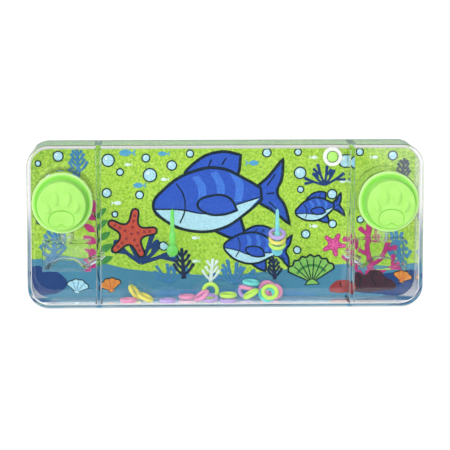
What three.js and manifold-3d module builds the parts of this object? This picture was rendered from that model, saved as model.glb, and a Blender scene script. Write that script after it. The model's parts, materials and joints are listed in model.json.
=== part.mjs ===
// Handheld water ring-toss game: a clear welded tank with two soft push buttons, two water jets,
// two pegs and a handful of small rings. Millimetres, +Z up.
// The pieces are modelled as the toy lies on its back: x across, y up the picture, z towards the player.
// The last group stands it up on its long edge, so the finished part has X across, -Y front and +Z up.
import * as THREE from 'three';
import { mergeVertices } from 'three/addons/utils/BufferGeometryUtils.js';
import Module from 'manifold-3d';

const wasm = await Module();
wasm.setup();

// Case
const CASE_WIDTH = 145;
const CASE_HEIGHT = 60;
const CASE_CORNER = 8;
const TRAY_DEPTH = 18.4;
const COVER_THICKNESS = 1.6;
const WALL = 1.2;
const WINDOW = 1.6;
const FRONT_EDGE_ROUND = 0.8;
const DIVIDER = 1.2;
const ROOM_CORNER = 1;
const PLATEAU_HEIGHT = 0.8;
const SEAT_GAP = 0.2;
const CUT_OVERRUN = 2;

// Printed card in the recess of the rear cover
const CARD_MARGIN = 1;
const CARD_THICKNESS = 0.4;
const CARD_GAP = 0.1;

// Soft push button: rim, wall and pad are zones of one moulding
const BUTTON_SIDE_MARGIN = 1.8;
const BUTTON_TOP_MARGIN = 9.9;
const RIM_RADIUS = 11.1;
const RIM_HEIGHT = 1.5;
const RIM_EDGE_ROUND = 0.5;
const NECK_RADIUS = 9.7;
const NECK_BORE = 8.8;
const BEAD_RADIUS = 10.3;
const BEAD_HEIGHT = 0.9;
const BEAD_CHAMFER = 0.3;
const SOFT_WALL_HEIGHT = 7.6;
const SOFT_WALL_THICKNESS = 0.8;
const SOFT_WALL_TOP_RADIUS = 8.6;
const PAD_RADIUS = 8.8;
const PAD_THICKNESS = 1.3;
const PAD_EDGE_ROUND = 0.4;
const PAD_DOME = 0.4;
const PAD_DOME_SHARES = [0.6, 0.7];

// Paw relief on the pad
const PAW_RELIEF = 0.35;
const PALM_WIDTH = 9.2;
const PALM_HEIGHT = 6;
const PALM_NOTCH = 0.9;
const PALM_DROP = 4.6;
const INNER_TOE = { across: 2.25, up: 2.5, width: 2.5, length: 4.8, degrees: 6 };
const OUTER_TOE = { across: 5.2, up: -0.6, width: 2.2, length: 4, degrees: 20 };

// Half outline of the palm from its notch to its crown, in shares of half its width and half its height
const PALM_CURVE_SHARES = [
  { bend: [0.3, -1], end: [0.55, -1] },
  { bend: [1, -1], end: [1, -0.2] },
  { bend: [0.95, 1], end: [0, 1] },
];

// Clear pump: a cup behind each button, a duct under it, and a jet through the divider
const CUP_RADIUS = 11.5;
const CUP_SIDE_GAP = 1;
const CUP_WALL = 0.9;
const CUP_FLOOR = 1;
const THROAT_RADIUS = 2.7;
const THROAT_BORE = 1.9;
const THROAT_LENGTH = 3.9;
const DUCT_INSET = 1.2;
const DUCT_WIDTH = 18;
const DUCT_HEIGHT = 11.2;
const DUCT_DEPTH = 8.8;
const DUCT_WALL = 0.9;
const RAMP_HEIGHT = 3.2;
const RAMP_TOP_WIDTH = 5;
const RAMP_FOOT_MARGIN = 1.4;
const JET_OVER_DUCT = 2.9;
const JET_RISE_DEGREES = 28;
const JET_RADIUS = 1.5;
const JET_BORE = 0.8;
const JET_TIP_RADIUS = 1.1;
const JET_REACH = 1.4;

// Pegs that catch the rings
const PEG_ACROSS = 19.4;
const ARM_UP = 19.8;
const ARM_RADIUS = 2.1;
const ARM_EDGE = 0.4;
const ARM_FRONT = 0.6;
const STEM_RADIUS = 1.15;
const STEM_TOP = 26.4;
const SPIKE_RADIUS = 0.9;
const SPIKE_TIP_RADIUS = 0.35;
const SPIKE_TOP = 35.4;
const BOSS_RADIUS = 3.2;
const BOSS_HEIGHT = 2.4;

// Filler: a collar bonded in the window, with a pull-out stopper
const FILLER_DIVIDER_MARGIN = 7.6;
const FILLER_TOP_MARGIN = 4.4;
const COLLAR_RADIUS = 3.5;
const COLLAR_HEIGHT = 1.2;
const COLLAR_EDGE_ROUND = 0.35;
const COLLAR_TUBE_RADIUS = 2.75;
const COLLAR_TUBE_DEPTH = 2;
const COLLAR_BORE = 2.15;
const STOPPER_RADIUS = 1.9;
const STOPPER_DOME = 0.35;
const STOPPER_DOME_SHARES = [0.6, 0.8];
const STOPPER_TAIL = 0.8;
const STOPPER_TAIL_RADIUS = 1.3;

// Rings
const RING_RADIUS = 2.5;
const RING_TUBE_RADIUS = 0.75;
const RING_GAP = 0.08;
const PEG_RING_LEAN = 31;
const PEG_RING_COLOURS = ['green', 'yellow', 'purple'];

// Heaps of loose rings: the first as a share of the tank's half width, the others in outer radii from it
const FIRST_HEAP_SHARE = -0.75;
const HEAP_SHARES = { edge: 0, left: 5.23, middle: 9.89, right: 14.41 };

// Loose rings: colour, heap, place across it in outer radii, share of the way from back to front,
// lean and turn in degrees, and height over the floor in ring thicknesses
const LOOSE_RING_SHARES = [
  ['pink', 'edge', -0.4, 0.79, 0, 0, 0],
  ['yellow', 'edge', 0.31, 0.1, 53, 72, 0],
  ['yellow', 'edge', 1.52, 0.85, 26, 70, 0],
  ['purple', 'left', -1.16, 0.98, 0, 0, 0],
  ['pink', 'left', 1.09, 0.01, 0, 0, 0],
  ['pink', 'middle', -1.99, 0.92, 36, -72, 0.15],
  ['green', 'middle', -0.92, 0.35, 88, 0, 0],
  ['purple', 'middle', -1.05, 0.9, 18, 5, 0],
  ['purple', 'middle', 1.05, 0.99, 0, 0, 0],
  ['green', 'middle', 1.02, 0.98, 4, 0, 1.2],
  ['purple', 'right', -1.29, 0.1, 50, 5, 0],
  ['pink', 'right', -1.23, 0.3, 13, 121, 1.95],
  ['cyan', 'right', -0.8, 0.29, 8, 40, 3.5],
  ['green', 'right', -0.92, 1, 29, -80, 0.77],
  ['cyan', 'right', 0.95, 0.84, 55, 0, 0],
  ['green', 'right', 1.23, 0.955, 55, 0, 0.68],
  ['pink', 'right', 1.82, 0.38, 60, 0, 0],
  ['pink', 'right', 1.11, 0.08, 86, 0, 0],
];

// Facets
const WELD_DISTANCE = 1e-4;
const ROUND_STEPS = 5;
const EDGE_STEPS = 2;
const BUTTON_SIDES = 32;
const SMALL_SIDES = 16;
const TOE_SIDES = 10;
const TOE_ROWS = 6;
const RING_SIDES = 14;
const TUBE_SIDES = 8;

// Levels along z and y
const FRONT = (TRAY_DEPTH + COVER_THICKNESS) / 2;
const BACK = -FRONT;
const TRAY_BACK = FRONT - TRAY_DEPTH;
const WINDOW_BACK = FRONT - WINDOW;
const ROOM_BACK = TRAY_BACK + PLATEAU_HEIGHT;
const ROOM_TOP = CASE_HEIGHT - WALL;
const RIM_FRONT = FRONT + RIM_HEIGHT;
const PAD_BACK = RIM_FRONT + SOFT_WALL_HEIGHT;
const PAD_FACE = PAD_BACK + PAD_THICKNESS;
const DUCT_AXIS_DEPTH = ROOM_BACK + DUCT_DEPTH / 2;

// Places across and up, each from what it sits beside
const BUTTON_ACROSS = CASE_WIDTH / 2 - BUTTON_SIDE_MARGIN - RIM_RADIUS;
const BUTTON_UP = CASE_HEIGHT - BUTTON_TOP_MARGIN - RIM_RADIUS;
const DIVIDER_ACROSS = BUTTON_ACROSS - CUP_RADIUS - CUP_SIDE_GAP - DIVIDER / 2;
const TANK_HALF_WIDTH = DIVIDER_ACROSS - DIVIDER / 2;
const DUCT_ACROSS = BUTTON_ACROSS - DUCT_INSET;
const DUCT_TOP = BUTTON_UP - CUP_RADIUS - THROAT_LENGTH;
const DUCT_UP = DUCT_TOP - DUCT_HEIGHT;
const JET_UP = DUCT_UP + JET_OVER_DUCT;
const FILLER_ACROSS = DIVIDER_ACROSS - FILLER_DIVIDER_MARGIN;
const FILLER_UP = CASE_HEIGHT - FILLER_TOP_MARGIN;

const COLOURS = {
  clear: { color: 0xe8f4f6, roughness: 0.05, opacity: 0.3 },
  card: { color: 0x9ccc3c, roughness: 0.6 },
  lime: { color: 0xa6f55f, roughness: 0.45 },
  white: { color: 0xeef1ec, roughness: 0.4 },
  aqua: { color: 0x56d3c0, roughness: 0.1, opacity: 0.6 },
  pink: { color: 0xf08fae, roughness: 0.4 },
  purple: { color: 0xae8edb, roughness: 0.4 },
  yellow: { color: 0xeedb62, roughness: 0.4 },
  green: { color: 0xa9ee52, roughness: 0.4 },
  cyan: { color: 0x62dfe0, roughness: 0.4 },
};

function material(name) {
  const { color, roughness, opacity = 1 } = COLOURS[name];
  const transparent = opacity < 1;
  return new THREE.MeshStandardMaterial({ color, roughness, metalness: 0, opacity, transparent });
}

function piece(name, colour, geometry) {
  const mesh = new THREE.Mesh(geometry, material(colour));
  mesh.name = name;
  return mesh;
}

// A closed geometry as a solid that can be cut and joined.
function solid(geometry) {
  const bare = geometry.clone();
  bare.deleteAttribute('normal');
  bare.deleteAttribute('uv');
  const merged = mergeVertices(bare, WELD_DISTANCE);
  return new wasm.Manifold(new wasm.Mesh({
    numProp: 3,
    vertProperties: merged.attributes.position.array,
    triVerts: new Uint32Array(merged.index.array),
  }));
}

function geometryOf(body) {
  const mesh = body.getMesh();
  const geometry = new THREE.BufferGeometry();
  geometry.setAttribute('position', new THREE.BufferAttribute(mesh.vertProperties, 3));
  geometry.setIndex(new THREE.BufferAttribute(mesh.triVerts, 1));
  geometry.computeVertexNormals();
  return geometry;
}

function joined(first, ...others) {
  return geometryOf(others.reduce((body, other) => body.add(solid(other)), solid(first)));
}

function cut(first, ...tools) {
  return geometryOf(tools.reduce((body, tool) => body.subtract(solid(tool)), solid(first)));
}

// The same shape on the other side of the toy.
function mirrored(geometry) {
  const copy = geometry.index ? geometry.clone() : mergeVertices(geometry);
  copy.scale(-1, 1, 1);
  const corners = copy.index.array;
  for (let i = 0; i < corners.length; i += 3) {
    [corners[i + 1], corners[i + 2]] = [corners[i + 2], corners[i + 1]];
  }
  return copy;
}

function onSide(side, geometry) {
  return side < 0 ? mirrored(geometry) : geometry;
}

// A rectangle with its own corner radius at the left and at the right.
function roundedRectangle(left, bottom, right, top, leftRadius, rightRadius) {
  const quarter = Math.PI / 2;
  const shape = new THREE.Shape();
  shape.absarc(right - rightRadius, bottom + rightRadius, rightRadius, -quarter, 0);
  shape.absarc(right - rightRadius, top - rightRadius, rightRadius, 0, quarter);
  shape.absarc(left + leftRadius, top - leftRadius, leftRadius, quarter, 2 * quarter);
  shape.absarc(left + leftRadius, bottom + leftRadius, leftRadius, 2 * quarter, 3 * quarter);
  return shape;
}

function caseOutline(inset) {
  const half = CASE_WIDTH / 2 - inset;
  const corner = CASE_CORNER - inset;
  return roundedRectangle(-half, inset, half, CASE_HEIGHT - inset, corner, corner);
}

// The three rooms between the walls and dividers, drawn smaller by an inset.
function roomOutlines(inset) {
  const low = WALL + inset;
  const high = ROOM_TOP - inset;
  const outer = CASE_WIDTH / 2 - WALL - inset;
  const inner = DIVIDER_ACROSS + DIVIDER / 2 + inset;
  const tank = TANK_HALF_WIDTH - inset;
  const corner = CASE_CORNER - WALL - inset;
  return [
    roundedRectangle(-outer, low, -inner, high, corner, ROOM_CORNER),
    roundedRectangle(-tank, low, tank, high, ROOM_CORNER, ROOM_CORNER),
    roundedRectangle(inner, low, outer, high, ROOM_CORNER, corner),
  ];
}

function slab(shape, back, front) {
  const geometry = new THREE.ExtrudeGeometry(shape, {
    depth: front - back,
    bevelEnabled: false,
    curveSegments: ROUND_STEPS,
  });
  return geometry.translate(0, 0, back);
}

// A solid turned about z, from its [radius, z] outline.
function turned(outline, sides) {
  const points = outline.map(([radius, z]) => new THREE.Vector2(radius, z));
  return new THREE.LatheGeometry(points, sides).rotateX(Math.PI / 2);
}

function rod(radius, back, front, sides) {
  return turned([[0, back], [radius, back], [radius, front], [0, front]], sides);
}

// A rod along y.
function post(radius, bottom, top) {
  const geometry = new THREE.CylinderGeometry(radius, radius, top - bottom, SMALL_SIDES);
  return geometry.translate(0, (top + bottom) / 2, 0);
}

// Outside of the front moulding, rounded along its front edge.
function trayBlock() {
  const rounded = new THREE.ExtrudeGeometry(caseOutline(0), {
    depth: TRAY_DEPTH,
    bevelThickness: FRONT_EDGE_ROUND,
    bevelSize: FRONT_EDGE_ROUND,
    bevelOffset: -FRONT_EDGE_ROUND,
    bevelSegments: EDGE_STEPS,
    curveSegments: ROUND_STEPS,
  });
  rounded.translate(0, 0, TRAY_BACK - FRONT_EDGE_ROUND);
  return cut(rounded, slab(caseOutline(-CUT_OVERRUN), TRAY_BACK - CUT_OVERRUN, TRAY_BACK));
}

// Front moulding: window and side walls in one, with two dividers and the holes of the window.
function frontCase() {
  const rooms = roomOutlines(0).map((room) => slab(room, TRAY_BACK - CUT_OVERRUN, WINDOW_BACK));
  const holeBack = WINDOW_BACK - CUT_OVERRUN;
  const holeFront = FRONT + CUT_OVERRUN;
  const buttonHoles = [-1, 1].map((side) => rod(NECK_RADIUS + SEAT_GAP, holeBack, holeFront, BUTTON_SIDES)
    .translate(side * BUTTON_ACROSS, BUTTON_UP, 0));
  const jetHoles = [-1, 1].map((side) => onSide(side, jetHole()));
  const fillerHole = rod(COLLAR_TUBE_RADIUS + SEAT_GAP, holeBack, holeFront, SMALL_SIDES)
    .translate(FILLER_ACROSS, FILLER_UP, 0);
  return cut(trayBlock(), ...rooms, ...buttonHoles, ...jetHoles, fillerHole);
}

// Rear cover: plate, plateaus that drop into the rooms, a recess for the card, and the bosses of the pegs.
function rearCover() {
  const plate = slab(caseOutline(0), BACK, TRAY_BACK);
  const recess = slab(caseOutline(CARD_MARGIN - CARD_GAP), BACK - CUT_OVERRUN, BACK + CARD_THICKNESS);
  const plateaus = roomOutlines(SEAT_GAP).map((room) => slab(room, BACK + CARD_THICKNESS, ROOM_BACK));
  const bossFront = ROOM_BACK + BOSS_HEIGHT;
  const bosses = [];
  const sockets = [];
  for (const side of [-1, 1]) {
    const boss = rod(BOSS_RADIUS, TRAY_BACK, bossFront, SMALL_SIDES);
    const socket = rod(ARM_RADIUS + SEAT_GAP, ROOM_BACK, bossFront + CUT_OVERRUN, SMALL_SIDES);
    bosses.push(boss.translate(side * PEG_ACROSS, ARM_UP, 0));
    sockets.push(socket.translate(side * PEG_ACROSS, ARM_UP, 0));
  }
  return cut(joined(plate, ...plateaus, ...bosses), recess, ...sockets);
}

function backdropCard() {
  return slab(caseOutline(CARD_MARGIN), BACK, BACK + CARD_THICKNESS);
}

// Fixed zone of the button: flange on the window, neck through it, and a bead behind it.
function buttonRim() {
  const beadBack = WINDOW_BACK - BEAD_HEIGHT;
  return turned([
    [NECK_BORE, beadBack],
    [BEAD_RADIUS - BEAD_CHAMFER, beadBack],
    [BEAD_RADIUS, beadBack + BEAD_CHAMFER],
    [BEAD_RADIUS, WINDOW_BACK],
    [NECK_RADIUS, WINDOW_BACK],
    [NECK_RADIUS, FRONT],
    [RIM_RADIUS, FRONT],
    [RIM_RADIUS, RIM_FRONT - RIM_EDGE_ROUND],
    [RIM_RADIUS - RIM_EDGE_ROUND, RIM_FRONT],
    [NECK_BORE, RIM_FRONT],
    [NECK_BORE, beadBack],
  ], BUTTON_SIDES);
}

// Flexible zone of the button: a thin tapered sleeve that buckles as the pad goes in.
function buttonWall() {
  return turned([
    [NECK_BORE, RIM_FRONT],
    [NECK_BORE + SOFT_WALL_THICKNESS, RIM_FRONT],
    [SOFT_WALL_TOP_RADIUS, PAD_BACK],
    [SOFT_WALL_TOP_RADIUS - SOFT_WALL_THICKNESS, PAD_BACK],
    [NECK_BORE, RIM_FRONT],
  ], BUTTON_SIDES);
}

// A flattened ball on the pad's face.
function toe({ across, up, width, length, degrees }, side) {
  return new THREE.SphereGeometry(1, TOE_SIDES, TOE_ROWS)
    .scale(width / 2, length / 2, PAD_DOME + PAW_RELIEF)
    .rotateZ(THREE.MathUtils.degToRad(-side * degrees))
    .translate(side * across, up, PAD_FACE);
}

// The palm of the paw: a wide pad with a notch in its lower edge.
function palm() {
  const halfWidth = PALM_WIDTH / 2;
  const halfHeight = PALM_HEIGHT / 2;
  const bends = PALM_CURVE_SHARES.map(({ bend }) => [bend[0] * halfWidth, bend[1] * halfHeight]);
  const ends = PALM_CURVE_SHARES.map(({ end }) => [end[0] * halfWidth, end[1] * halfHeight]);
  const starts = [[0, PALM_NOTCH - halfHeight], ...ends];
  const shape = new THREE.Shape();
  shape.moveTo(...starts[0]);
  bends.forEach((bend, i) => shape.quadraticCurveTo(...bend, ...ends[i]));
  for (let i = bends.length - 1; i >= 0; i -= 1) {
    shape.quadraticCurveTo(-bends[i][0], bends[i][1], -starts[i][0], starts[i][1]);
  }
  const face = PAD_FACE + PAD_DOME + PAW_RELIEF / 2;
  return slab(shape, PAD_FACE - PAD_THICKNESS / 2, face).translate(0, -PALM_DROP, 0);
}

// Pressed zone of the button: a slightly domed disc with a raised paw.
function buttonPad() {
  const [domeRadius, domeRise] = PAD_DOME_SHARES;
  const disc = turned([
    [0, PAD_BACK],
    [PAD_RADIUS, PAD_BACK],
    [PAD_RADIUS, PAD_FACE - PAD_EDGE_ROUND],
    [PAD_RADIUS - PAD_EDGE_ROUND, PAD_FACE],
    [PAD_RADIUS * domeRadius, PAD_FACE + PAD_DOME * domeRise],
    [0, PAD_FACE + PAD_DOME],
  ], BUTTON_SIDES);
  const toes = [-1, 1].flatMap((side) => [toe(INNER_TOE, side), toe(OUTER_TOE, side)]);
  return joined(disc, palm(), ...toes);
}

// Clear cup behind the button, open towards it, with a side hole for the throat of the duct.
function pumpCup() {
  const bore = CUP_RADIUS - CUP_WALL;
  const cup = turned([
    [0, ROOM_BACK],
    [CUP_RADIUS, ROOM_BACK],
    [CUP_RADIUS, WINDOW_BACK],
    [bore, WINDOW_BACK],
    [bore, ROOM_BACK + CUP_FLOOR],
    [0, ROOM_BACK + CUP_FLOOR],
  ], BUTTON_SIDES);
  const throatHole = post(THROAT_RADIUS + SEAT_GAP, -CUP_RADIUS - CUT_OVERRUN, CUP_WALL - bore);
  return cut(cup, throatHole.translate(DUCT_ACROSS - BUTTON_ACROSS, 0, DUCT_AXIS_DEPTH));
}

// Inside of the duct, with a ramp in its floor that turns the water sideways.
function ductRoom() {
  const floor = DUCT_UP + DUCT_WALL;
  const ceiling = DUCT_TOP - DUCT_WALL;
  const half = DUCT_WIDTH / 2 - DUCT_WALL;
  const rampTop = RAMP_TOP_WIDTH / 2;
  const rampFoot = half - RAMP_FOOT_MARGIN;
  const shape = new THREE.Shape();
  shape.moveTo(-half, floor);
  shape.lineTo(-rampFoot, floor);
  shape.lineTo(-rampTop, floor + RAMP_HEIGHT);
  shape.lineTo(rampTop, floor + RAMP_HEIGHT);
  shape.lineTo(rampFoot, floor);
  shape.lineTo(half, floor);
  shape.lineTo(half, ceiling);
  shape.lineTo(-half, ceiling);
  const back = ROOM_BACK + DUCT_WALL;
  const front = ROOM_BACK + DUCT_DEPTH - DUCT_WALL;
  return slab(shape, back, front).translate(DUCT_ACROSS, 0, 0);
}

// Duct under the cup: a box with a throat on top, a ramp inside and a hole for the jet.
function pumpDuct() {
  const box = new THREE.BoxGeometry(DUCT_WIDTH, DUCT_HEIGHT, DUCT_DEPTH);
  box.translate(DUCT_ACROSS, DUCT_UP + DUCT_HEIGHT / 2, DUCT_AXIS_DEPTH);
  const throatTop = BUTTON_UP - CUP_RADIUS + CUP_WALL;
  const throat = post(THROAT_RADIUS, DUCT_TOP - DUCT_WALL / 2, throatTop);
  const bore = post(THROAT_BORE, DUCT_TOP - DUCT_WALL - CUT_OVERRUN, throatTop + CUT_OVERRUN);
  throat.translate(DUCT_ACROSS, 0, DUCT_AXIS_DEPTH);
  bore.translate(DUCT_ACROSS, 0, DUCT_AXIS_DEPTH);
  return cut(joined(box, throat), ductRoom(), bore, jetHole());
}

// The jet's axis starts at the inner face of the duct's side wall and rises inwards through the divider.
function jetStart() {
  return DUCT_ACROSS - DUCT_WIDTH / 2 + DUCT_WALL;
}

function jetRun() {
  const acrossRun = jetStart() - TANK_HALF_WIDTH + JET_REACH;
  return acrossRun / Math.cos(THREE.MathUtils.degToRad(JET_RISE_DEGREES));
}

function alongJet(geometry) {
  return geometry
    .rotateY(-Math.PI / 2)
    .rotateZ(THREE.MathUtils.degToRad(-JET_RISE_DEGREES))
    .translate(jetStart(), JET_UP, DUCT_AXIS_DEPTH);
}

function jetHole() {
  return alongJet(rod(JET_RADIUS + SEAT_GAP, -CUT_OVERRUN, jetRun() + CUT_OVERRUN, SMALL_SIDES));
}

// Jet: a short tube with a tapered tip.
function jetNozzle() {
  const tip = jetRun();
  return alongJet(turned([
    [JET_BORE, 0],
    [JET_RADIUS, 0],
    [JET_RADIUS, tip - JET_REACH],
    [JET_TIP_RADIUS, tip],
    [JET_BORE, tip],
    [JET_BORE, 0],
  ], SMALL_SIDES));
}

// Peg: an arm out of the rear cover with an upright spike near its front end.
function peg() {
  const arm = turned([
    [0, ROOM_BACK],
    [ARM_RADIUS, ROOM_BACK],
    [ARM_RADIUS, ARM_FRONT - ARM_EDGE],
    [ARM_RADIUS - ARM_EDGE, ARM_FRONT],
    [0, ARM_FRONT],
  ], SMALL_SIDES).translate(0, ARM_UP, 0);
  const spike = new THREE.LatheGeometry([
    new THREE.Vector2(0, ARM_UP),
    new THREE.Vector2(STEM_RADIUS, ARM_UP),
    new THREE.Vector2(STEM_RADIUS, STEM_TOP),
    new THREE.Vector2(SPIKE_RADIUS, STEM_TOP + STEM_RADIUS - SPIKE_RADIUS),
    new THREE.Vector2(SPIKE_TIP_RADIUS, SPIKE_TOP - SPIKE_TIP_RADIUS),
    new THREE.Vector2(0, SPIKE_TOP),
  ], SMALL_SIDES);
  return joined(arm, spike);
}

function fillerCollar() {
  const collarFront = FRONT + COLLAR_HEIGHT;
  const tubeBack = WINDOW_BACK - COLLAR_TUBE_DEPTH;
  return turned([
    [COLLAR_BORE, tubeBack],
    [COLLAR_TUBE_RADIUS, tubeBack],
    [COLLAR_TUBE_RADIUS, FRONT],
    [COLLAR_RADIUS, FRONT],
    [COLLAR_RADIUS, collarFront - COLLAR_EDGE_ROUND],
    [COLLAR_RADIUS - COLLAR_EDGE_ROUND, collarFront],
    [COLLAR_BORE, collarFront],
    [COLLAR_BORE, tubeBack],
  ], SMALL_SIDES);
}

function fillerStopper() {
  const collarFront = FRONT + COLLAR_HEIGHT;
  const tubeBack = WINDOW_BACK - COLLAR_TUBE_DEPTH;
  const [domeRadius, domeRise] = STOPPER_DOME_SHARES;
  return turned([
    [0, tubeBack - STOPPER_TAIL],
    [STOPPER_TAIL_RADIUS, tubeBack - STOPPER_TAIL],
    [STOPPER_RADIUS, tubeBack],
    [STOPPER_RADIUS, collarFront],
    [STOPPER_RADIUS * domeRadius, collarFront + STOPPER_DOME * domeRise],
    [0, collarFront + STOPPER_DOME],
  ], SMALL_SIDES);
}

// A ring about an axis that leans from upright, to the player at turn 0 and to the right at turn 90.
function leaningRing(name, colour, lean, turn) {
  const axis = new THREE.Vector3().setFromSphericalCoords(
    1, THREE.MathUtils.degToRad(lean), THREE.MathUtils.degToRad(turn));
  const torus = new THREE.TorusGeometry(RING_RADIUS, RING_TUBE_RADIUS, TUBE_SIDES, RING_SIDES);
  const mesh = piece(name, colour, torus);
  mesh.quaternion.setFromUnitVectors(new THREE.Vector3(0, 0, 1), axis);
  return { mesh, axis };
}

// How far a ring reaches from its middle along a direction whose cosine to the ring's axis is given.
function reachOf(cosine) {
  return RING_RADIUS * Math.sqrt(1 - cosine * cosine) + RING_TUBE_RADIUS + RING_GAP;
}

function looseRings() {
  const counts = {};
  return LOOSE_RING_SHARES.map(([colour, heap, radii, depth, lean, turn, thicknesses]) => {
    counts[colour] = (counts[colour] ?? 0) + 1;
    const { mesh, axis } = leaningRing(`${colour}_ring_${counts[colour]}`, colour, lean, turn);
    const reach = reachOf(axis.z);
    mesh.position.set(
      FIRST_HEAP_SHARE * TANK_HALF_WIDTH + (HEAP_SHARES[heap] + radii) * (RING_RADIUS + RING_TUBE_RADIUS),
      WALL + reachOf(axis.y) + thicknesses * 2 * RING_TUBE_RADIUS,
      THREE.MathUtils.lerp(ROOM_BACK + reach, WINDOW_BACK - reach, depth),
    );
    return mesh;
  });
}

// Rings caught on the right peg: the lowest straddles the arm, and its front hangs down past the arm's end.
function pegRings() {
  const tilt = THREE.MathUtils.degToRad(PEG_RING_LEAN);
  const seat = ARM_UP + ARM_RADIUS + 2 * RING_GAP;
  const pitch = 2 * (RING_TUBE_RADIUS + RING_GAP) / Math.cos(tilt);
  return PEG_RING_COLOURS.map((colour, level) => {
    const { mesh } = leaningRing(`${colour}_peg_ring`, colour, PEG_RING_LEAN, 0);
    mesh.position.set(PEG_ACROSS, seat + level * pitch, 0);
    return mesh;
  });
}

function pump(side) {
  const name = side < 0 ? 'left' : 'right';
  const button = new THREE.Group();
  button.position.set(side * BUTTON_ACROSS, BUTTON_UP, 0);
  button.add(
    piece(`${name}_button_rim`, 'lime', buttonRim()),
    piece(`${name}_button_wall`, 'lime', buttonWall()),
    piece(`${name}_button_pad`, 'lime', buttonPad()),
    piece(`${name}_pump_cup`, 'clear', onSide(side, pumpCup())),
  );
  const group = new THREE.Group();
  group.add(
    button,
    piece(`${name}_pump_duct`, 'clear', onSide(side, pumpDuct())),
    piece(`${name}_jet`, 'clear', onSide(side, jetNozzle())),
  );
  return group;
}

function pegs() {
  return [-1, 1].map((side) => {
    const mesh = piece(side < 0 ? 'left_peg' : 'right_peg', 'aqua', peg());
    mesh.position.x = side * PEG_ACROSS;
    return mesh;
  });
}

function filler() {
  const group = new THREE.Group();
  group.position.set(FILLER_ACROSS, FILLER_UP, 0);
  group.add(
    piece('filler_collar', 'white', fillerCollar()),
    piece('filler_stopper', 'lime', fillerStopper()),
  );
  return group;
}

const lying = new THREE.Group();
lying.add(
  piece('front_case', 'clear', frontCase()),
  piece('rear_cover', 'clear', rearCover()),
  piece('backdrop_card', 'card', backdropCard()),
  pump(-1),
  pump(1),
  ...pegs(),
  filler(),
  ...looseRings(),
  ...pegRings(),
);
lying.rotation.x = Math.PI / 2;

const game = new THREE.Group();
game.add(lying);

export default game;
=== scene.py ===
import json
from math import cos, pi, radians, sin

import bpy
import numpy as np
from mathutils import Matrix, Vector


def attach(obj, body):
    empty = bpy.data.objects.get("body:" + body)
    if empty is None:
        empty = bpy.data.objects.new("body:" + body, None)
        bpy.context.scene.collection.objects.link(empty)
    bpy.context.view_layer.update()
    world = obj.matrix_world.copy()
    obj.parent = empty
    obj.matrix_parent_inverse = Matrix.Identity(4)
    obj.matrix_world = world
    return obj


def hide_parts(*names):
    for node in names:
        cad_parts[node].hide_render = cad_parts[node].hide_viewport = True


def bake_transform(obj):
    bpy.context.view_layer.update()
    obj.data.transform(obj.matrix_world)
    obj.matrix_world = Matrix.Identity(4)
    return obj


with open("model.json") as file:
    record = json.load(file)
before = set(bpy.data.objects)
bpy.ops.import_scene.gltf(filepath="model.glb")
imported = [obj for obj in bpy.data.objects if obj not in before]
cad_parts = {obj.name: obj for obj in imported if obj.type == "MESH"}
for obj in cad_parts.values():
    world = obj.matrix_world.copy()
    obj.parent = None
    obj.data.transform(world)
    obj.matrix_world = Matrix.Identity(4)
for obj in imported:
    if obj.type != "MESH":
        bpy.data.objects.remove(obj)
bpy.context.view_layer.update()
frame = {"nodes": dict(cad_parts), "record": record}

# Studio. A plain pale table under soft white light, and a long-lens camera that looks at the front
# of the toy from a little above and a little to the left. To mirror rays near that view the table
# shows white, dark and blue cards, because a clear case takes its edges from what stands round it.
mm = 0.001
scene = bpy.context.scene
front, back = -10 * mm, 10 * mm
view_target = Vector((-0.3, -10, 30.6)) * mm
view_distance, view_width = 880 * mm, 164.4 * mm
view_azimuth, view_elevation = radians(-2.2), radians(7.5)
film_width, nearest_view, light_bounces = 36, 10 * mm, 40
table_size, table_drop = 8, 0.06 * mm
sun_from, sun_softness, sun_strength = Vector((-0.1, -1.0, 0.07)), radians(14), 1.32
side_from, side_softness, side_strength = Vector((-0.9, -0.75, 0.6)), radians(24), 0.95
studio_light = 0.76
mirrored_sky, sky_behind, sky_low = (0.48, 0.7, 0.58, 1), (0.0, 0.3), (0.16, 0.3)
table_shade, table_lift, table_glow = (0.6, 0.6, 0.6, 1), 0.3, 0.3
white_card, dark_card, bright_card = (1, 1, 1, 1), (0.03, 0.035, 0.04, 1), (1.5, 1.5, 1.5, 1)
sea_card, mist_card = (0.075, 0.26, 0.41, 1), (0.3, 0.4, 0.5, 1)
# The cards fade in or out between the two numbers of each pair.
card_side, card_slant, ahead_end = (100 * mm, 120 * mm), (0.96, 0.98), (-14 * mm, -10 * mm)
behind_start, behind_end = (10 * mm, 11 * mm), (160 * mm, 320 * mm)
sea_start, sea_end = (58 * mm, 61 * mm), (72 * mm, 73 * mm)
under_way, under_side = (0.28 * mm, 0.42 * mm), (73 * mm, 74 * mm)
under_front, under_back = (-12 * mm, -11 * mm), (9.8 * mm, 10.2 * mm)
under_middle = (-0.5 * mm, 0.5 * mm)


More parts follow.
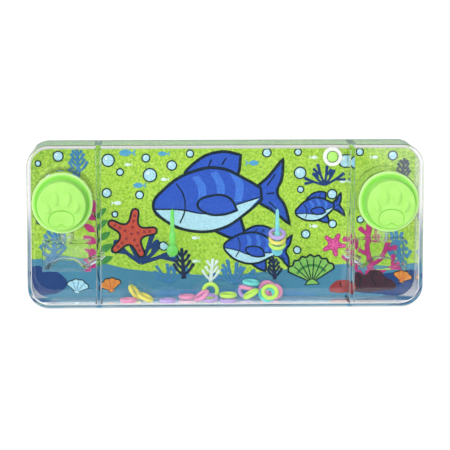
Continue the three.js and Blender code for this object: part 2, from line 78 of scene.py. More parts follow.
class Wire:
    """A socket in a material. Sums, differences, products, quotients and abs of wires add Math nodes."""

    def __init__(self, tree, socket=None):
        self.tree, self.socket = tree, socket

    def node(self, kind, settings=None, sockets=None, output=0):
        node = self.tree.nodes.new("ShaderNode" + kind)
        for name, value in (settings or {}).items():
            setattr(node, name, value)
        for key, value in (sockets or {}).items():
            if isinstance(value, Wire):
                self.tree.links.new(value.socket, node.inputs[key])
            else:
                node.inputs[key].default_value = value
        return Wire(self.tree, node.outputs[output])

    def math(self, operation, *values):
        """A Math node on just these values."""
        return self.node("Math", {"operation": operation}, dict(enumerate(values)))

    def axis(self, number):
        """The place of this point along x, y or z, which are 0, 1 and 2."""
        return self.node("SeparateXYZ", sockets={0: self}, output=number)

    def blend(self, low, high):
        """A colour between two, by this wire from 0 to 1."""
        return self.node("Mix", {"data_type": "RGBA"}, {0: self, 6: low, 7: high}, output=2)

    def step(self, start, end):
        """0 before start and 1 after end, with a smooth rise between."""
        return self.node("MapRange", {"interpolation_type": "SMOOTHSTEP"}, {0: self, 1: start, 2: end})

    def __add__(self, other):
        return self.math("ADD", self, other)

    def __sub__(self, other):
        return self.math("SUBTRACT", self, other)

    def __rsub__(self, other):
        return self.math("SUBTRACT", other, self)

    def __mul__(self, other):
        return self.math("MULTIPLY", self, other)

    def __truediv__(self, other):
        return self.math("DIVIDE", self, other)

    def __abs__(self):
        return self.math("ABSOLUTE", self)

    __radd__ = __add__
    __rmul__ = __mul__


def new_material(name):
    """A material, and the wire that carries the point on the piece in metres."""
    material = bpy.data.materials.new(name)
    material.use_nodes = True
    material.node_tree.nodes.clear()
    return material, Wire(material.node_tree).node("TexCoord", output="Object")


def show(surface, kind="Material"):
    """Makes this shader the one that shows."""
    output = surface.tree.nodes.new("ShaderNodeOutput" + kind)
    surface.tree.links.new(surface.socket, output.inputs["Surface"])


def grain(place, scale, detail=2.0):
    """Cloudy noise from 0 to 1, with its spacing in metres."""
    return place.node("TexNoise", sockets={"Vector": place, "Scale": 1 / scale, "Detail": detail})


def rgb(red, green, blue):
    """A screen colour as the shader's linear one."""
    shares = [value / 255 for value in (red, green, blue)]
    return (*(s / 12.92 if s < 0.04045 else ((s + 0.055) / 1.055) ** 2.4 for s in shares), 1)


def deselect():
    bpy.ops.object.select_all(action="DESELECT")


def placed(name):
    """Names the primitive that was just added, with its place in its mesh."""
    piece = bpy.context.object
    piece.name = piece.data.name = name
    bpy.ops.object.transform_apply(location=True, rotation=True, scale=True)
    return piece


deselect()
bpy.ops.mesh.primitive_plane_add(size=table_size, location=(0, 0, -table_drop))
table = placed("table")
table_white, place = new_material("table_white")
across, depth = abs(place.axis(0)), place.axis(1)
way = place.node("LightPath", output="Ray Length")
near = 1 - across.step(*card_side)
forward, backward = ((gap / way).step(*card_slant) * near for gap in (front - depth, depth - back))
ahead = forward * (1 - depth.step(*ahead_end))
behind = backward * depth.step(*behind_start) * (1 - depth.step(*behind_end))
under = way.step(*under_way) * (1 - across.step(*under_side))
under = under * depth.step(*under_front) * (1 - depth.step(*under_back))
cards = (across.step(*sea_start) * (1 - across.step(*sea_end))).blend(mist_card, sea_card)
cards = behind.blend(ahead.blend(white_card, dark_card), cards)
cards = under.blend(cards, depth.step(*under_middle).blend(bright_card, sea_card))
seen = place.node("LightPath", output="Is Camera Ray")
matt = place.node("BsdfPrincipled", sockets={
    "Base Color": table_shade, "Roughness": 0.9, "Emission Color": (1, 1, 1, 1),
    "Emission Strength": table_lift + table_glow * seen})
mirrored = place.node("Emission", sockets={"Color": cards})
show(place.node("MixShader", sockets={
    0: place.node("LightPath", output="Is Glossy Ray"), 1: matt, 2: mirrored}))
table.data.materials.append(table_white)

for name, source, softness, strength in (("front_lamp", sun_from, sun_softness, sun_strength),
                                         ("side_lamp", side_from, side_softness, side_strength)):
    bpy.ops.object.light_add(type="SUN", location=source)
    lamp = bpy.context.object
    lamp.name = name
    lamp.data.energy, lamp.data.angle = strength, softness
    lamp.visible_glossy = lamp.visible_transmission = False
    lamp.rotation_euler = (-source).to_track_quat("-Z", "Y").to_euler()

scene.world = bpy.data.worlds.new("studio_white")
scene.world.use_nodes = True
scene.world.node_tree.nodes.clear()
studio = Wire(scene.world.node_tree)
sky = studio.node("TexCoord", output="Generated")
glossy, reflected = (studio.node("LightPath", output=ray) for ray in ("Is Glossy Ray", "Is Reflection Ray"))
mirrored = glossy * reflected * sky.axis(1).step(*sky_behind) * (1 - sky.axis(2).step(*sky_low))
show(studio.node("Background", sockets={
    "Color": mirrored.blend((1, 1, 1, 1), mirrored_sky), "Strength": studio_light}), "World")

towards_camera = Vector((
    sin(view_azimuth) * cos(view_elevation), -cos(view_azimuth) * cos(view_elevation), sin(view_elevation)))
bpy.ops.object.camera_add(location=view_target + towards_camera * view_distance)
camera = bpy.context.object
camera.name = "camera"
camera.rotation_euler = (-towards_camera).to_track_quat("-Z", "Y").to_euler()
camera.data.sensor_width = film_width
camera.data.lens = film_width * view_distance / view_width
camera.data.clip_start = nearest_view
scene.camera = camera
scene.view_settings.view_transform = "Standard"
scene.cycles.max_bounces = scene.cycles.transmission_bounces = light_bounces
scene.cycles.transparent_max_bounces = light_bounces
scene.cycles.caustics_reflective = scene.cycles.caustics_refractive = False

# Front moulding of the case. Clear polystyrene, moulded in one with the window, the side walls and
# two dividers. The buttons and the filler pass through round holes in the window.
case_width, case_height, case_corner = 145 * mm, 60 * mm, 8 * mm
window_back, cover_seam = -8.4 * mm, 8.4 * mm
wall = 1.2 * mm
divider, divider_across, divider_corner = 1.2 * mm, 46.5 * mm, 0.8 * mm
outer_edge_round, inner_edge_round = 0.45 * mm, 0.4 * mm
corner_facets, edge_facets = 16, 5
wide_sides, slim_sides, bore_sides = 96, 48, 32
button_across, button_up, button_hole = 59.6 * mm, 39 * mm, 9.9 * mm
filler_across, filler_up, filler_hole = 38.9 * mm, 55.6 * mm, 2.95 * mm
gate_place, gate_radius, gate_depth = Vector((-62.5, -10, 56.2)) * mm, 1.3 * mm, 0.25 * mm
# The second tint and the line after it give a painted blue-grey shade behind the dividers at the back of the
# case.
clear_tint, divider_shade_tint = (0.985, 1, 0.997, 1), (0.4, 0.6, 0.75, 1)
divider_shade_side, divider_shade_start = (0.4 * mm, 0.8 * mm), (back - 0.7 * mm, back - 0.65 * mm)
touching = 0.01 * mm


def activate(piece):
    deselect()
    piece.select_set(True)
    bpy.context.view_layer.objects.active = piece


def round_edges(piece, radius, segments, chosen):
    """Rounds the edges whose two ends pass a test."""
    activate(piece)
    bpy.ops.object.mode_set(mode="EDIT")
    bpy.ops.mesh.select_mode(type="EDGE")
    bpy.ops.mesh.select_all(action="DESELECT")
    bpy.ops.object.mode_set(mode="OBJECT")
    points = piece.data.vertices
    for edge in piece.data.edges:
        edge.select = chosen(*(points[i].co for i in edge.vertices))
    bpy.ops.object.mode_set(mode="EDIT")
    bpy.ops.mesh.bevel(offset=radius, segments=segments, profile=0.5, affect="EDGES")
    bpy.ops.object.mode_set(mode="OBJECT")


def panel(name, low, high, left_corner, right_corner, front_round=0.0):
    """A plate that faces the player, with its own corner radius at the left and at the right."""
    deselect()
    low, high = Vector(low), Vector(high)
    bpy.ops.mesh.primitive_cube_add(size=1, location=(low + high) / 2, scale=high - low)
    piece = placed(name)
    for side, corner in ((low.x, left_corner), (high.x, right_corner)):
        round_edges(piece, corner, corner_facets, lambda a, b: (
            abs(a.x - side) < touching and abs(b.x - side) < touching and abs(a.z - b.z) < touching))
    if front_round:
        round_edges(piece, front_round, edge_facets, lambda a, b: max(a.y, b.y) < low.y + touching)
    return piece


def outline_panel(name, inset, y_front, y_back, front_round=0.0):
    """A plate with the outline of the case, smaller all round by an inset."""
    half, corner = case_width / 2 - inset, case_corner - inset
    low, high = (-half, y_front, inset), (half, y_back, case_height - inset)
    return panel(name, low, high, corner, corner, front_round)


def room_panels(inset, y_front, y_back, front_round=0.0):
    """The three rooms of the tank, each smaller by an inset."""
    low, high = wall + inset, case_height - wall - inset
    outer = case_width / 2 - wall - inset
    inner = divider_across + divider / 2 + inset
    tank = divider_across - divider / 2 - inset
    corner = case_corner - wall - inset
    return [panel("room", (x0, y_front, low), (x1, y_back, high), left, right, front_round)
            for x0, x1, left, right in ((-outer, -inner, corner, divider_corner),
                                        (-tank, tank, divider_corner, divider_corner),
                                        (inner, outer, divider_corner, corner))]


def rod(name, radius, start, end, sides=wide_sides):
    """A cylinder between two points."""
    deselect()
    start, end = Vector(start), Vector(end)
    along = end - start
    bpy.ops.mesh.primitive_cylinder_add(
        vertices=sides, radius=radius, depth=along.length, location=(start + end) / 2,
        rotation=along.to_track_quat("Z", "Y").to_euler())
    return placed(name)


def combine(piece, operation, tools):
    """Cuts the tools out of a piece, or welds them to it."""
    for tool in tools:
        modifier = piece.modifiers.new("combine", "BOOLEAN")
        modifier.object, modifier.operation, modifier.solver = tool, operation, "EXACT"
        activate(piece)
        bpy.ops.object.modifier_apply(modifier=modifier.name)
        bpy.data.objects.remove(tool)


def smooth(piece, degrees=30):
    """Smooth shading with flat faces kept flat."""
    activate(piece)
    bpy.ops.object.shade_smooth_by_angle(angle=radians(degrees))
    modifier = piece.modifiers.new("even", "WEIGHTED_NORMAL")
    modifier.keep_sharp = True
    bpy.ops.object.modifier_apply(modifier=modifier.name)


def dress(piece, material, body, slot, *nodes):
    """Gives a piece its finish and its body, and hides the CAD nodes that it stands for."""
    piece.data.materials.clear()
    piece.data.materials.append(material)
    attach(piece, body)
    if nodes:
        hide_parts(*nodes)


# Fine flow marks and scuffs all over, and a painted blue-grey shade at the back behind each divider, which
# darkens the band seen along the divider.
clear_plastic, place = new_material("clear_plastic")
flow, scuffs = grain(place, 9 * mm), grain(place, 0.6 * mm, 4.0)
bump = place.node("Bump", sockets={"Strength": 0.03, "Distance": 0.4 * mm, "Height": flow})
divider_shade = 1 - abs(abs(place.axis(0)) - divider_across).step(*divider_shade_side)
divider_shade = divider_shade * place.axis(1).step(*divider_shade_start)
body = place.node("BsdfPrincipled", sockets={
    "Base Color": divider_shade.blend(clear_tint, divider_shade_tint), "Roughness": 0.015 + 0.03 * scuffs.step(0.55, 0.8),
    "IOR": 1.5, "Transmission Weight": 1.0, "Normal": bump})
open_way = place.node("BsdfTransparent", sockets={"Color": clear_tint})
for ray in ("Is Diffuse Ray", "Is Shadow Ray"):
    body = place.node("MixShader", sockets={0: place.node("LightPath", output=ray), 1: body, 2: open_way})
show(body)

case_front = outline_panel("case_front", 0, front, cover_seam, outer_edge_round)
combine(case_front, "DIFFERENCE", room_panels(0, window_back, cover_seam + wall, inner_edge_round))
hole_tools = [rod("hole", button_hole, (x, front - wall, button_up), (x, window_back + wall, button_up))
              for x in (-button_across, button_across)]
hole_tools.append(rod("hole", filler_hole, (filler_across, front - wall, filler_up),
                      (filler_across, window_back + wall, filler_up), slim_sides))
hole_tools.append(rod("hole", gate_radius, gate_place + Vector((0, gate_depth, 0)),
                      gate_place - Vector((0, gate_depth, 0)), bore_sides))
combine(case_front, "DIFFERENCE", hole_tools)

# Rear cover. A clear plate welded all round to the front moulding, so that light passes from one to
# the other. Three plateaus drop into the rooms, two bosses hold the pegs, and a shallow recess
# behind takes the printed card.
weld_flow = 0.02 * mm
recess_floor, recess_margin = 9.42 * mm, 0.9 * mm
plateau_front, plateau_back, plateau_gap = 7.6 * mm, recess_floor - 0.3 * mm, 0.2 * mm
peg_across, arm_up = 19.4 * mm, 19.8 * mm
boss_radius, boss_front, socket_radius = 3.2 * mm, 5.2 * mm, 2.3 * mm

case_back = outline_panel("case_back", 0, cover_seam - weld_flow, back)
combine(case_back, "UNION", room_panels(plateau_gap, plateau_front, plateau_back))
for x in (-peg_across, peg_across):
    boss = rod("boss", boss_radius, (x, boss_front, arm_up), (x, plateau_front + wall, arm_up), slim_sides)
    socket = rod("socket", socket_radius, (x, boss_front - wall, arm_up), (x, plateau_front, arm_up),
                 slim_sides)
    combine(case_back, "UNION", [boss])
    combine(case_back, "DIFFERENCE", [socket])
combine(case_back, "DIFFERENCE", [outline_panel("recess", recess_margin, recess_floor, back + wall)])
combine(case_front, "UNION", [case_back])

# Printed card, glued in the recess behind the cover. Thin coated card with a lime ground in fine
# printed grain and broad mottle, and a painted shade that darkens it towards the edges. Its back is
# plain white board.
card_front = 9.6 * mm
board_start = (card_front + 0.05 * mm, card_front + 0.1 * mm)
lime_middle, lime_shade_and_mottle, lime_dark_fleck = rgb(164, 206, 60), rgb(136, 176, 62), rgb(104, 158, 56)
lime_fleck = rgb(204, 228, 96)
card_white, card_shade = rgb(246, 246, 242), rgb(241, 241, 236)
fade_across, fade_up, fade_middle = 80 * mm, 44 * mm, 30 * mm
# Spacing, detail, start, end, share and colour of each layer of the printed grain.
print_grain = [
    (0.7 * mm, 3.0, 0.42, 0.62, 0.8, lime_fleck),
    (0.95 * mm, 3.0, 0.5, 0.66, 0.62, lime_dark_fleck),
    (7 * mm, 2.0, 0.5, 0.75, 0.25, lime_shade_and_mottle),
]

printed_card, place = new_material("printed_card")
# Painted shade: the lime darkens from the middle of the card towards its edges.
across, up = place.axis(0) / fade_across, (place.axis(2) - fade_middle) / fade_up
fade = across * across * across * across + up * up
ground = fade.step(0.1, 1.1).blend(lime_middle, lime_shade_and_mottle)
for spacing, detail, start, end, share, colour in print_grain:
    ground = (grain(place, spacing, detail).step(start, end) * share).blend(ground, colour)
board = grain(place, 0.8 * mm, 4.0).step(0.3, 0.7).blend(card_white, card_shade)
face = place.axis(1).step(*board_start).blend(ground, board)
show(place.node("BsdfPrincipled", sockets={"Base Color": face, "Roughness": 0.55, "Specular IOR Level": 0.3}))
card = frame["nodes"]["backdrop_card"]
card.data.materials.clear()
card.data.materials.append(printed_card)

# Printed motifs. Flat opaque inks on the card, one thin film over another: sea floor, rocks, corals,
# plants, shells, starfish, fish without features and bubbles.
ink_film = 0.02 * mm
ink_grain = 0.4 * mm
ink_light, ink_dark = 1.22, 0.84
bend_steps = 6
same_place = 0.001 * mm


def ink(name, red, green, blue):
    """Matt printing ink with the faint grain of the print."""
    material, place = new_material(name)
    colour = rgb(red, green, blue)
    light = tuple(min(1.0, share * ink_light + 0.01) for share in colour[:3]) + (1,)
    dark = tuple(share * ink_dark for share in colour[:3]) + (1,)
    speckle = grain(place, ink_grain, 3.0).step(0.3, 0.7)
    show(place.node("BsdfPrincipled", sockets={
        "Base Color": speckle.blend(dark, light), "Roughness": 0.5, "Specular IOR Level": 0.3}))
    return material


outline_ink = ink("ink_outline", 18, 40, 52)
pale_blue = ink("ink_pale_blue", 176, 216, 236)
white_ink = ink("ink_white", 226, 240, 240)
royal_blue = ink("ink_royal_blue", 44, 84, 190)
mid_blue = ink("ink_mid_blue", 66, 116, 214)
steel_blue = ink("ink_steel_blue", 64, 128, 178)
sky_blue = ink("ink_sky_blue", 84, 160, 202)
deep_blue = ink("ink_deep_blue", 26, 60, 122)
navy = ink("ink_navy", 30, 44, 78)
teal = ink("ink_teal", 70, 130, 162)
magenta = ink("ink_magenta", 192, 44, 122)
pink_ink = ink("ink_pink", 228, 88, 160)
maroon = ink("ink_maroon", 70, 38, 52)
brick_red = ink("ink_brick_red", 206, 80, 62)
brick_shade = ink("ink_brick_shade", 156, 54, 58)
orange_ink = ink("ink_orange", 220, 136, 62)
shell_green = ink("ink_shell_green", 132, 188, 92)
leaf_green = ink("ink_leaf_green", 66, 140, 66)


def joined(pieces):
    deselect()
    for piece in pieces:
        piece.select_set(True)
    bpy.context.view_layer.objects.active = pieces[0]
    bpy.ops.object.join()
    return bpy.context.object


def merge_points():
    """Merges points of the active piece that lie on one another, and turns its faces outwards."""
    bpy.ops.object.mode_set(mode="EDIT")
    bpy.ops.mesh.select_all(action="SELECT")
    bpy.ops.mesh.remove_doubles(threshold=same_place)
    bpy.ops.mesh.normals_make_consistent(inside=False)
    bpy.ops.object.mode_set(mode="OBJECT")


def drawn(paths, closed, handles="AUTO", y=0.0):
    """A curve that faces the player, along paths of (across, up) in millimetres, where a third value
    is the share of a line's width, and 0 makes a sharp corner."""
    deselect()
    bpy.ops.curve.primitive_bezier_circle_add(rotation=(pi / 2, 0, 0), location=(0, y, 0))
    curve = bpy.context.object.data
    curve.splines.clear()
    for path in paths:
        spline = curve.splines.new("BEZIER")
        spline.use_cyclic_u = closed
        spline.bezier_points.add(len(path) - len(spline.bezier_points))
        for knot, (x, z, *width) in zip(spline.bezier_points, path):
            sharp = width == [0]
            knot.co = (x * mm, z * mm, 0)
            knot.radius = 1.0 if sharp or not width else width[0]
            knot.handle_left_type = knot.handle_right_type = "VECTOR" if sharp else handles
    return curve


def film(level, material):
    """Turns the curve that was just drawn into a film of ink at its level over the card."""
    bpy.ops.object.convert(target="MESH")
    piece = placed("film")
    low = card_front - level * ink_film
    depths = [vertex.co.y for vertex in piece.data.vertices]
    middle, reach = (max(depths) + min(depths)) / 2, (max(depths) - min(depths)) / 2
    for vertex in piece.data.vertices:
        vertex.co.y = low + (0.5 + 0.5 * (vertex.co.y - middle) / reach) * ink_film
    merge_points()
    piece.data.materials.clear()
    piece.data.materials.append(material)
    return piece


def patch(level, material, *outlines, handles="AUTO"):
    """Solid shapes of one ink, from closed outlines."""
    curve = drawn(outlines, True, handles)
    curve.dimensions, curve.fill_mode = "2D", "BOTH"
    curve.extrude, curve.resolution_u = ink_film / 2, bend_steps
    return film(level, material)


def stroke(level, material, width, *paths, closed=False):
    """Lines of one ink along paths."""
    curve = drawn(paths, closed)
    curve.dimensions, curve.use_fill_caps = "3D", True
    curve.bevel_depth, curve.bevel_resolution = width / 2 * mm, 1
    curve.resolution_u = bend_steps
    return film(level, material)


def motif(name, *films):
    """Joins the films of one motif and fixes them to the card."""
    piece = joined(films)
    piece.name = piece.data.name = name
    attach(piece, "case")


def polar(x, z, reach, angle):
    """The place at a reach and an angle from another."""
    return x + reach * cos(angle), z + reach * sin(angle)


def round_points(x, z, radius, count):
    return [polar(x, z, radius, 2 * pi * i / count) for i in range(count)]


def turned_points(points, x, z, degrees, scale=1.0, flip=1):
    """Points drawn about zero, turned, scaled and moved to their place."""
    c, s = cos(radians(degrees)) * scale, sin(radians(degrees)) * scale
    return [(x + flip * px * c - pz * s, z + flip * px * s + pz * c, *rest) for px, pz, *rest in points]


# Sea floor. Teal ink along the foot of the card, down to its rounded corners, with a darker mound
# at each end and a lighter rise in the middle. It is the first film on the lime ground.
corner_across, corner_up, corner_reach = 64.5, 8.0, 7.0
sea_top = [(-71.5, 15.6), (-60, 16.4), (-48, 14.8), (-36, 11.8), (-22, 10.2), (-8, 9.4), (8, 9.8),
           (22, 11.2), (36, 12.6), (50, 13.6), (62, 12.8), (71.5, 13.4)]
right_mound = [(71.5, 10.4), (66, 10.2), (58, 9.2), (49, 7), (45, 4.8), (50, 2.6), (58, 1.8), (64.5, 1.02)]
left_mound = [(-71.5, 12.6), (-66, 12.2), (-60.5, 9.6), (-58.5, 6.5), (-61, 3.4), (-66, 2.2)]
middle_rise = [(-32, 1.4, 0), (-22, 3.4), (-6, 3.6), (10, 4.2), (26, 3.2), (36, 1.4, 0)]


def corner_arc(side, start, end, count=6):
    """Points round a lower corner of the card, between two angles in degrees."""
    angles = [radians(start + (end - start) * i / (count - 1)) for i in range(count)]
    places = [polar(corner_across, corner_up, corner_reach, angle) for angle in angles]
    return [(side * x, z) for x, z in places]


motif(
    "print_sea_floor",
    patch(1, teal, sea_top + corner_arc(1, 0, -90) + corner_arc(-1, -90, 0), handles="VECTOR"),
    patch(2, deep_blue, right_mound + corner_arc(1, -75, 0, 5), left_mound + corner_arc(-1, -55, 0, 4)),
    patch(2, steel_blue, middle_rise),
)

# Rock and coral, low at the right. The coral branches in magenta lines with round tips, and the dark
# rock and its boulder are printed over the coral's foot, with fine cracks.
tip_swell, tip_step, tip_steps, tip_sides = 1.15, 0.0003 * mm, 7, 20
rock = [(45, 3.4), (47, 7.4), (50, 10.2), (53, 9.2), (55.6, 11.4), (58.6, 10.6), (60.6, 8.2), (63.4, 6.8),
        (64.6, 4.4), (60, 3.2), (54, 2.6), (49, 2.8)]
boulder = [(39.6, 3.2), (41.2, 6.2), (44, 7.2), (47.4, 6.6), (49.6, 4.2), (46.4, 2.6), (42, 2.4)]
rock_cracks = [[(50.2, 9.4), (51.4, 7.2), (50.6, 5)], [(56.4, 10.4), (55.6, 7.6), (57.2, 5.2)],
               [(61, 7.4), (60.4, 5.4)], [(43.4, 6.4), (44.2, 4.6)]]
coral_width = 1.9
coral_trunks = [
    [(54, 8, 1.3), (54.5, 14, 1.1), (53.6, 20, 1.0), (54.4, 27.5, 1.2)],
    [(54.5, 13, 0.9), (59, 16, 0.8), (61.5, 21.5, 1.1)],
    [(53.8, 17, 0.9), (49.5, 19.5, 0.8), (48, 24.5, 1.15)],
    [(52, 8.5, 1.0), (48.5, 13, 0.8), (45.2, 16, 1.05)],
    [(56.5, 8.5, 1.0), (61, 11.5, 0.8), (65, 13.2, 1.05)],
]
coral_twigs = [
    [(54.2, 21.5, 0.7), (57, 23.6, 0.95)], [(60.2, 18.5, 0.7), (64, 19.4, 0.95)],
    [(48.6, 22, 0.7), (45.4, 22.6, 0.95)], [(47.2, 14.6, 0.7), (46.6, 18.6, 0.9)],
    [(62.8, 12.4, 0.7), (63.4, 16, 0.9)], [(54, 24, 0.7), (51.2, 26.4, 0.9)],
]


def tips(level, material, width, paths):
    """Round ends for lines, a little wider than they are, with no two neighbours at one depth."""
    discs = []
    for i, (x, z, share) in enumerate(path[-1] for path in paths):
        y = card_front - (level - 0.5) * ink_film - i % tip_steps * tip_step
        deselect()
        bpy.ops.mesh.primitive_cylinder_add(
            vertices=tip_sides, radius=0.5 * tip_swell * width * share * mm, depth=ink_film,
            rotation=(pi / 2, 0, 0), location=(x * mm, y, z * mm))
        discs.append(placed("tip"))
        discs[-1].data.materials.append(material)
    return discs


motif(
    "print_rock_coral",
    stroke(3, magenta, coral_width, *coral_trunks, *coral_twigs),
    *tips(3, magenta, coral_width, coral_trunks + coral_twigs),
    patch(4, maroon, rock),
    patch(5, brick_shade, boulder),
    stroke(6, outline_ink, 0.4, *rock_cracks),
)

# Leafy plant at the left. A dark stem, printed over magenta leaves on one side and green ones on the
# other, in pairs that get shorter upwards.
leaf = [(0, 0, 0), (2.6, 1.5), (5, 1.1), (7, 0, 0), (5, -1.1), (2.6, -1.5)]
leaf_pairs, first_pair, pair_rise, pair_shrink = 5, 12.5, 4.4, 0.05
plant_across, plant_sway, plant_sway_turn = -47.3, 0.5, 1.4
top_leaf = turned_points(leaf, -48.2, 32.4, 96, 0.9)
plant_stem = [(-46.5, 8), (-47.6, 16), (-46.8, 24), (-48.2, 33)]
magenta_leaves, green_leaves = [], []
for step in range(leaf_pairs):
    x = plant_across + plant_sway * sin(step * plant_sway_turn)
    z = first_pair + pair_rise * step
    magenta_leaves.append(turned_points(leaf, x, z, 158 - 4 * step, 1.0 - pair_shrink * step))
    green_leaves.append(turned_points(leaf, x, z + 1.4, 24 + 4 * step, 0.95 - pair_shrink * step))
motif(
    "print_leafy_plant",
    patch(3, magenta, *magenta_leaves, top_leaf),
    patch(4, leaf_green, *green_leaves),
    stroke(5, outline_ink, 0.35, plant_stem),
)

# Plumes and fans of coral in blues, white and near black, on the sea floor and near the upper
# corners. They are lines of ink too, each with a round tip.
fern_line, fern_stem, fern_branch = 0.42, (1.25, 1.0, 0.85), (0.7, 0.7, 0.85)
fern_rise, fern_taper, fern_top, fern_bend = radians(48), 0.62, 0.92, (0.38, 0.3)
fern_start, fern_end, fern_reaches = 0.6, 0.3, (1.05, 0.9)
fan_line, fan_finger, fan_fork = 0.13, (0.9, 0.85, 1.15), (0.7, 1.0)
finger_length, finger_vary, finger_turn, finger_bend = 0.86, 0.14, 2.3, 0.064
fork_start, fork_length, fork_turn = 0.5, 0.42, radians(30)


def lines(level, material, width, paths):
    """Lines of one ink with round tips, joined."""
    return joined([stroke(level, material, width, *paths), *tips(level, material, width, paths)])


def tapered(places, shares):
    """A path with its share of the line's width at each place."""
    return [(*place, share) for place, share in zip(places, shares)]


def fern(level, material, x, z, height, width, pairs, lean):
    """A plume: one stem with pairs of rounded branches that shorten upwards."""
    paths = [tapered([(x, z), (x + lean * 0.4, z + height * 0.5), (x + lean, z + height)], fern_stem)]
    for pair in range(pairs):
        share = (pair + fern_start) / (pairs + fern_end)
        foot_x, foot_z = x + lean * share, z + height * share * fern_top
        reach = width * (1 - fern_taper * share) * fern_reaches[pair % 2]
        for side in (-1, 1):
            bend = (foot_x + side * reach * fern_bend[0], foot_z + reach * fern_bend[1])
            tip = (foot_x + side * reach * cos(fern_rise), foot_z + reach * sin(fern_rise))
            paths.append(tapered([(foot_x, foot_z), bend, tip], fern_branch))
    return lines(level, material, fern_line * height ** 0.5, paths)


def fan(level, material, x, z, size, fingers, spread, lean):
    """A fan of rounded fingers that fork near their tips."""
    paths = []
    for finger in range(fingers):
        angle = radians(lean + spread * (finger / (fingers - 1) - 0.5))
        length = size * (finger_length + finger_vary * cos(finger * finger_turn))
        middle_x, middle_z = polar(x, z, fork_start * length, angle)
        middle = (middle_x + finger_bend * size * cos(angle), middle_z)
        tip = polar(x, z, length, angle)
        fork = polar(*middle, fork_length * length, angle + (fork_turn if finger % 2 else -fork_turn))
        paths += [tapered([(x, z), middle, tip], fan_finger), tapered([middle, fork], fan_fork)]
    return lines(level, material, fan_line * size, paths)


motif(
    "print_corals",
    fern(2, steel_blue, -64, 14, 15, 6.5, 5, 1.5),
    fern(2, steel_blue, 66, 12, 13, 6, 5, -1.5),
    fan(3, deep_blue, -31, 14, 13, 6, 120, 80),
    fan(3, deep_blue, 37.6, 43, 8, 6, 130, 96),
    fern(4, navy, -15, 8, 11, 5.4, 4, -0.8),
    fern(3, navy, 66.5, 44, 8.5, 4.2, 4, 0.8),
    fern(4, white_ink, -5, 6, 9, 4.8, 3, 0.8),
    fan(3, steel_blue, 3.5, 6, 9, 6, 120, 92),
    fern(3, navy, 19, 7.5, 8, 4, 4, -0.6),
    fern(2, steel_blue, -54, 47, 9.5, 5, 4, -0.6),
    fan(2, steel_blue, -20, 6.5, 8, 5, 120, 100),
)

# Shoal of the middle. Three plain fish in flat blues with a dark line round them, and no features.
# Each is drawn a unit long about zero, with its nose to the left.
fish_body = [(-0.5, 0), (-0.4, 0.12), (-0.2, 0.22), (0.02, 0.23), (0.2, 0.13), (0.31, 0.05, 0),
             (0.31, -0.04, 0), (0.18, -0.13), (0, -0.22), (-0.22, -0.22), (-0.42, -0.12)]
fish_belly = [(-0.49, -0.025, 0), (-0.3, -0.05), (-0.1, -0.1), (0.1, -0.06), (0.3, -0.02, 0), (0.18, -0.12),
              (0, -0.21), (-0.22, -0.21), (-0.41, -0.115)]
fish_stripes = [[(x, 0.21 - abs(x) * 0.12, 0), (x + 0.045, 0.1), (x + 0.02, -0.035, 0),
                 (x - 0.035, -0.035, 0), (x - 0.015, 0.1), (x - 0.05, 0.2 - abs(x) * 0.12, 0)]
                for x in (-0.14, 0, 0.14)]
fish_tail = [(0.27, 0.03), (0.38, 0.13), (0.5, 0.25, 0), (0.475, 0.1), (0.43, 0), (0.475, -0.1),
             (0.5, -0.25, 0), (0.38, -0.13), (0.27, -0.03)]
fish_back_fin = [(-0.24, 0.17), (-0.14, 0.3), (0.05, 0.35), (0.19, 0.31, 0), (0.13, 0.15)]
fish_low_fin = [(-0.08, -0.18), (0.01, -0.28), (0.15, -0.33, 0), (0.15, -0.22), (0.11, -0.14)]
fish_side_fin = [(-0.17, -0.02), (-0.06, 0.03), (0.07, 0), (0.12, -0.1, 0), (0, -0.12), (-0.12, -0.09)]
gill_line = [(-0.31, 0.15), (-0.265, 0.05), (-0.27, -0.06), (-0.315, -0.15)]
belly_line = [(x, z) for x, z, *corner in fish_belly[:5]]
fin_lines = [[(0.36, 0.06), (0.43, 0.14)], [(0.35, 0), (0.41, 0)], [(0.36, -0.06), (0.43, -0.14)],
             [(-0.06, 0.25), (-0.03, 0.3)], [(0.04, 0.25), (0.08, 0.3)]]


def plain_fish(x, z, length, turn, way, line):
    def at(points):
        return turned_points(points, x, z, turn, length, way)
    return [
        patch(2, royal_blue, at(fish_back_fin), at(fish_tail), at(fish_low_fin)),
        stroke(3, outline_ink, line, at(fish_back_fin), at(fish_tail), at(fish_low_fin), closed=True),
        stroke(3, outline_ink, line * 0.5, *[at(path) for path in fin_lines]),
        patch(4, royal_blue, at(fish_body)),
        patch(5, pale_blue, at(fish_belly)),
        patch(5, mid_blue, *[at(stripe) for stripe in fish_stripes]),
        patch(7, royal_blue, at(fish_side_fin)),
        stroke(6, outline_ink, line, at(fish_body), closed=True),
        stroke(8, outline_ink, line * 0.8, at(fish_side_fin), closed=True),
        stroke(6, outline_ink, line * 0.5, at(gill_line), at(belly_line)),
    ]


motif(
    "print_shoal",
    *plain_fish(-1.5, 38, 50, 6, 1, 1.1),
    *plain_fish(12.5, 19.2, 25, -5, 1, 0.8),
    *plain_fish(35.6, 34.2, 18, 10, 1, 0.7),
)

# Starfish. A large red one with dark spots and a dark outline at the lower left, and a small pink one
# near the lower right with a magenta outline and arm lines.
star_arms, spot_size, spot_reaches = 5, 0.62, (2.6, 4.9, 6.9)
red_x, red_z, red_turn = -34.5, 25, 80
pink_x, pink_z, pink_turn, arm_line = 41.2, 20.6, 64, (1, 3)


def star_points(x, z, radius, inner, turn):
    return [polar(x, z, inner if i % 2 else radius, radians(turn) + pi * i / star_arms)
            for i in range(2 * star_arms)]


def arm_angles(turn):
    return [radians(turn + 360 / star_arms * i) for i in range(star_arms)]


